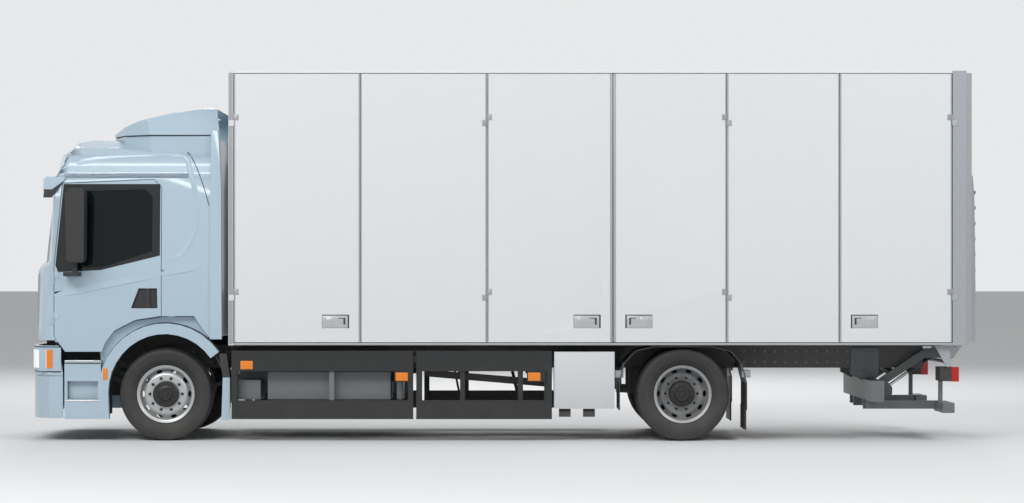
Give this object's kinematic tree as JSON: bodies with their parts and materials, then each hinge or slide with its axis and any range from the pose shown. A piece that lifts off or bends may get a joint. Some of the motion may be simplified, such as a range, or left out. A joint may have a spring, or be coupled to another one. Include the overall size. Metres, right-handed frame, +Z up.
{
  "type": "electric truck",
  "caption": "Electric box truck with a low cab that tilts, side walls that fold open in leaves and a tail lift behind closed rear doors.",
  "frame": {"origin": "on the ground, below the middle of the length, in the plane of symmetry", "axes": "+Z up, the cab faces -X, the left-hand side of the truck is -Y"},
  "size_m": [9.87, 3, 3.82],
  "materials": {
    "cab_paint": "light blue-grey gloss paint",
    "panel_white": "off-white coated panel, satin",
    "aluminium": "anodised, satin",
    "chassis_grey": "dark grey chassis paint, satin",
    "black_plastic": "black grained plastic",
    "lift_grey": "grey paint, satin",
    "chrome": "hard chrome",
    "tyre": "black rubber",
    "rim_silver": "silver paint, satin",
    "rim_grey": "grey paint, satin",
    "dark_glass": "tinted",
    "case_grey": "mid grey satin casing",
    "trim_grey": "dark grey interior trim"
  },
  "bodies": {
    "truck": {"chassis_frame": "chassis_grey", "front_axle": "chassis_grey", "rear_axle": "chassis_grey", "front_bumper": "cab_paint", "side_cabinet": "panel_white", "cargo_floor": "aluminium", "cargo_roof": "panel_white", "front_wall": "panel_white", "rear_frame": "aluminium", "rear_doors": "panel_white", "lift_frame": "lift_grey", "batteries_left": "case_grey", "batteries_right": "case_grey", "side_skirt_left": "black_plastic", "side_skirt_right": "black_plastic", "rear_mudguard_left": "black_plastic", "rear_mudguard_right": "black_plastic", "front_arch_left": "cab_paint", "front_arch_right": "cab_paint"},
    "cab": {"cab_shell": "cab_paint", "windscreen": "dark_glass", "sun_visor": "black_plastic", "wind_deflector": "cab_paint", "cab_interior": "trim_grey"},
    "front_lid": {"front_panel": "cab_paint"},
    "lift_arms": {"lift_arms": "lift_grey"},
    "lift_carrier": {"lift_carrier": "lift_grey"},
    "lift_platform": {"lift_platform": "aluminium"},
    "lift_tubes": {"lift_tubes": "lift_grey"},
    "lift_rods": {"lift_rods": "chrome"},
    "cab_door_left": {"cab_door_left": "cab_paint", "door_glass_left": "dark_glass", "mirror_left": "black_plastic"},
    "cab_door_right": {"cab_door_right": "cab_paint", "door_glass_right": "dark_glass", "mirror_right": "black_plastic"},
    "knuckle_left": {"knuckle_left": "chassis_grey"},
    "knuckle_right": {"knuckle_right": "chassis_grey"},
    "front_wheel_left": {"front_rim_left": "rim_silver", "front_tyre_left": "tyre"},
    "front_wheel_right": {"front_rim_right": "rim_silver", "front_tyre_right": "tyre"},
    "rear_wheels_left": {"rear_rims_left": "rim_grey", "rear_tyre_inner_left": "tyre", "rear_tyre_outer_left": "tyre"},
    "rear_wheels_right": {"rear_rims_right": "rim_grey", "rear_tyre_inner_right": "tyre", "rear_tyre_outer_right": "tyre"},
    "side_leaf_front_1_left": {"side_leaf_front_1_left": "panel_white"},
    "side_leaf_front_2_left": {"side_leaf_front_2_left": "panel_white"},
    "side_leaf_front_3_left": {"side_leaf_front_3_left": "panel_white"},
    "side_leaf_front_1_right": {"side_leaf_front_1_right": "panel_white"},
    "side_leaf_front_2_right": {"side_leaf_front_2_right": "panel_white"},
    "side_leaf_front_3_right": {"side_leaf_front_3_right": "panel_white"},
    "side_leaf_rear_1_left": {"side_leaf_rear_1_left": "panel_white"},
    "side_leaf_rear_2_left": {"side_leaf_rear_2_left": "panel_white"},
    "side_leaf_rear_3_left": {"side_leaf_rear_3_left": "panel_white"},
    "side_leaf_rear_1_right": {"side_leaf_rear_1_right": "panel_white"},
    "side_leaf_rear_2_right": {"side_leaf_rear_2_right": "panel_white"},
    "side_leaf_rear_3_right": {"side_leaf_rear_3_right": "panel_white"}
  },
  "joints": [
    {"name": "cab_tilt", "type": "hinge", "parent": "truck", "child": "cab", "pos_m": [-4.855, 0, 0.78], "axis": [0, -1, 0], "range_deg": [0, 60]},
    {"name": "front_lid_lift", "type": "hinge", "parent": "cab", "child": "front_lid", "pos_m": [-4.903, 0, 1.703], "axis": [0, 1, 0], "range_deg": [0, 80]},
    {"name": "cab_door_left_swing", "type": "hinge", "parent": "cab", "child": "cab_door_left", "pos_m": [-4.619, -1.226, 1.3], "axis": [0, 0, -1], "range_deg": [0, 80]},
    {"name": "cab_door_right_swing", "type": "hinge", "parent": "cab", "child": "cab_door_right", "pos_m": [-4.619, 1.226, 1.3], "axis": [0, 0, 1], "range_deg": [0, 80]},
    {"name": "steering_left", "type": "hinge", "parent": "truck", "child": "knuckle_left", "pos_m": [-3.475, -0.85, 0.48], "axis": [0, 0, 1], "range_deg": [-40, 40]},
    {"name": "steering_right", "type": "hinge", "parent": "truck", "child": "knuckle_right", "pos_m": [-3.475, 0.85, 0.48], "axis": [0, 0, 1], "range_deg": [-40, 40]},
    {"name": "front_wheel_left_spin", "type": "hinge", "parent": "knuckle_left", "child": "front_wheel_left", "pos_m": [-3.475, -1.02, 0.48], "axis": [0, 1, 0], "continuous": true},
    {"name": "front_wheel_right_spin", "type": "hinge", "parent": "knuckle_right", "child": "front_wheel_right", "pos_m": [-3.475, 1.02, 0.48], "axis": [0, 1, 0], "continuous": true},
    {"name": "rear_wheels_left_spin", "type": "hinge", "parent": "truck", "child": "rear_wheels_left", "pos_m": [1.875, -1.085, 0.48], "axis": [0, 1, 0], "continuous": true},
    {"name": "rear_wheels_right_spin", "type": "hinge", "parent": "truck", "child": "rear_wheels_right", "pos_m": [1.875, 1.085, 0.48], "axis": [0, 1, 0], "continuous": true},
    {"name": "side_leaf_front_1_left_swing", "type": "hinge", "parent": "truck", "child": "side_leaf_front_1_left", "pos_m": [-2.758, -1.271, 1.021], "axis": [0, 0, -1], "range_deg": [0, 88]},
    {"name": "side_leaf_front_2_left_swing", "type": "hinge", "parent": "side_leaf_front_1_left", "child": "side_leaf_front_2_left", "pos_m": [-1.454, -1.219, 1.021], "axis": [0, 0, -1], "range_deg": [-176, 0]},
    {"name": "side_leaf_front_3_left_swing", "type": "hinge", "parent": "side_leaf_front_2_left", "child": "side_leaf_front_3_left", "pos_m": [-0.146, -1.271, 1.021], "axis": [0, 0, -1], "range_deg": [0, 176]},
    {"name": "side_leaf_front_1_right_swing", "type": "hinge", "parent": "truck", "child": "side_leaf_front_1_right", "pos_m": [-2.758, 1.271, 1.021], "axis": [0, 0, 1], "range_deg": [0, 88]},
    {"name": "side_leaf_front_2_right_swing", "type": "hinge", "parent": "side_leaf_front_1_right", "child": "side_leaf_front_2_right", "pos_m": [-1.454, 1.219, 1.021], "axis": [0, 0, 1], "range_deg": [-176, 0]},
    {"name": "side_leaf_front_3_right_swing", "type": "hinge", "parent": "side_leaf_front_2_right", "child": "side_leaf_front_3_right", "pos_m": [-0.146, 1.271, 1.021], "axis": [0, 0, 1], "range_deg": [0, 176]},
    {"name": "side_leaf_rear_1_left_swing", "type": "hinge", "parent": "truck", "child": "side_leaf_rear_1_left", "pos_m": [4.65, -1.271, 1.021], "axis": [0, 0, 1], "range_deg": [0, 88]},
    {"name": "side_leaf_rear_2_left_swing", "type": "hinge", "parent": "side_leaf_rear_1_left", "child": "side_leaf_rear_2_left", "pos_m": [3.49, -1.219, 1.021], "axis": [0, 0, 1], "range_deg": [-176, 0]},
    {"name": "side_leaf_rear_3_left_swing", "type": "hinge", "parent": "side_leaf_rear_2_left", "child": "side_leaf_rear_3_left", "pos_m": [2.326, -1.271, 1.021], "axis": [0, 0, 1], "range_deg": [0, 176]},
    {"name": "side_leaf_rear_1_right_swing", "type": "hinge", "parent": "truck", "child": "side_leaf_rear_1_right", "pos_m": [4.65, 1.271, 1.021], "axis": [0, 0, -1], "range_deg": [0, 88]},
    {"name": "side_leaf_rear_2_right_swing", "type": "hinge", "parent": "side_leaf_rear_1_right", "child": "side_leaf_rear_2_right", "pos_m": [3.49, 1.219, 1.021], "axis": [0, 0, -1], "range_deg": [-176, 0]},
    {"name": "side_leaf_rear_3_right_swing", "type": "hinge", "parent": "side_leaf_rear_2_right", "child": "side_leaf_rear_3_right", "pos_m": [2.326, 1.271, 1.021], "axis": [0, 0, -1], "range_deg": [0, 176]},
    {"name": "lift_arms_swing", "type": "hinge", "parent": "truck", "child": "lift_arms", "pos_m": [4.025, 0, 0.565], "axis": [0, 1, 0], "range_deg": [0, 47]},
    {"name": "lift_carrier_turn", "type": "hinge", "parent": "lift_arms", "child": "lift_carrier", "pos_m": [4.745, 0, 0.879], "axis": [0, 1, 0], "range_deg": [-47, 0]},
    {"name": "lift_platform_fold", "type": "hinge", "parent": "lift_carrier", "child": "lift_platform", "pos_m": [4.745, 0, 0.879], "axis": [0, 1, 0], "range_deg": [0, 95]},
    {"name": "lift_tubes_turn", "type": "hinge", "parent": "lift_arms", "child": "lift_tubes", "pos_m": [4.541, 0, 0.834], "axis": [0, 1, 0], "range_deg": [0, 6]},
    {"name": "lift_rods_slide", "type": "slide", "parent": "lift_tubes", "child": "lift_rods", "axis": [0.8115, 0, 0.5843], "range_m": [0, 0.05]}
  ],
  "couplings": [
    {"joint": "steering_right", "follows": "steering_left", "ratio": 1},
    {"joint": "side_leaf_front_2_left_swing", "follows": "side_leaf_front_1_left_swing", "ratio": -2},
    {"joint": "side_leaf_front_3_left_swing", "follows": "side_leaf_front_1_left_swing", "ratio": 2},
    {"joint": "side_leaf_front_2_right_swing", "follows": "side_leaf_front_1_right_swing", "ratio": -2},
    {"joint": "side_leaf_front_3_right_swing", "follows": "side_leaf_front_1_right_swing", "ratio": 2},
    {"joint": "side_leaf_rear_2_left_swing", "follows": "side_leaf_rear_1_left_swing", "ratio": -2},
    {"joint": "side_leaf_rear_3_left_swing", "follows": "side_leaf_rear_1_left_swing", "ratio": 2},
    {"joint": "side_leaf_rear_2_right_swing", "follows": "side_leaf_rear_1_right_swing", "ratio": -2},
    {"joint": "side_leaf_rear_3_right_swing", "follows": "side_leaf_rear_1_right_swing", "ratio": 2},
    {"joint": "lift_carrier_turn", "follows": "lift_arms_swing", "ratio": -1},
    {"joint": "lift_tubes_turn", "follows": "lift_arms_swing", "ratio": 0.121},
    {"joint": "lift_rods_slide", "follows": "lift_arms_swing", "m_per_rad": 0.0597}
  ]
}
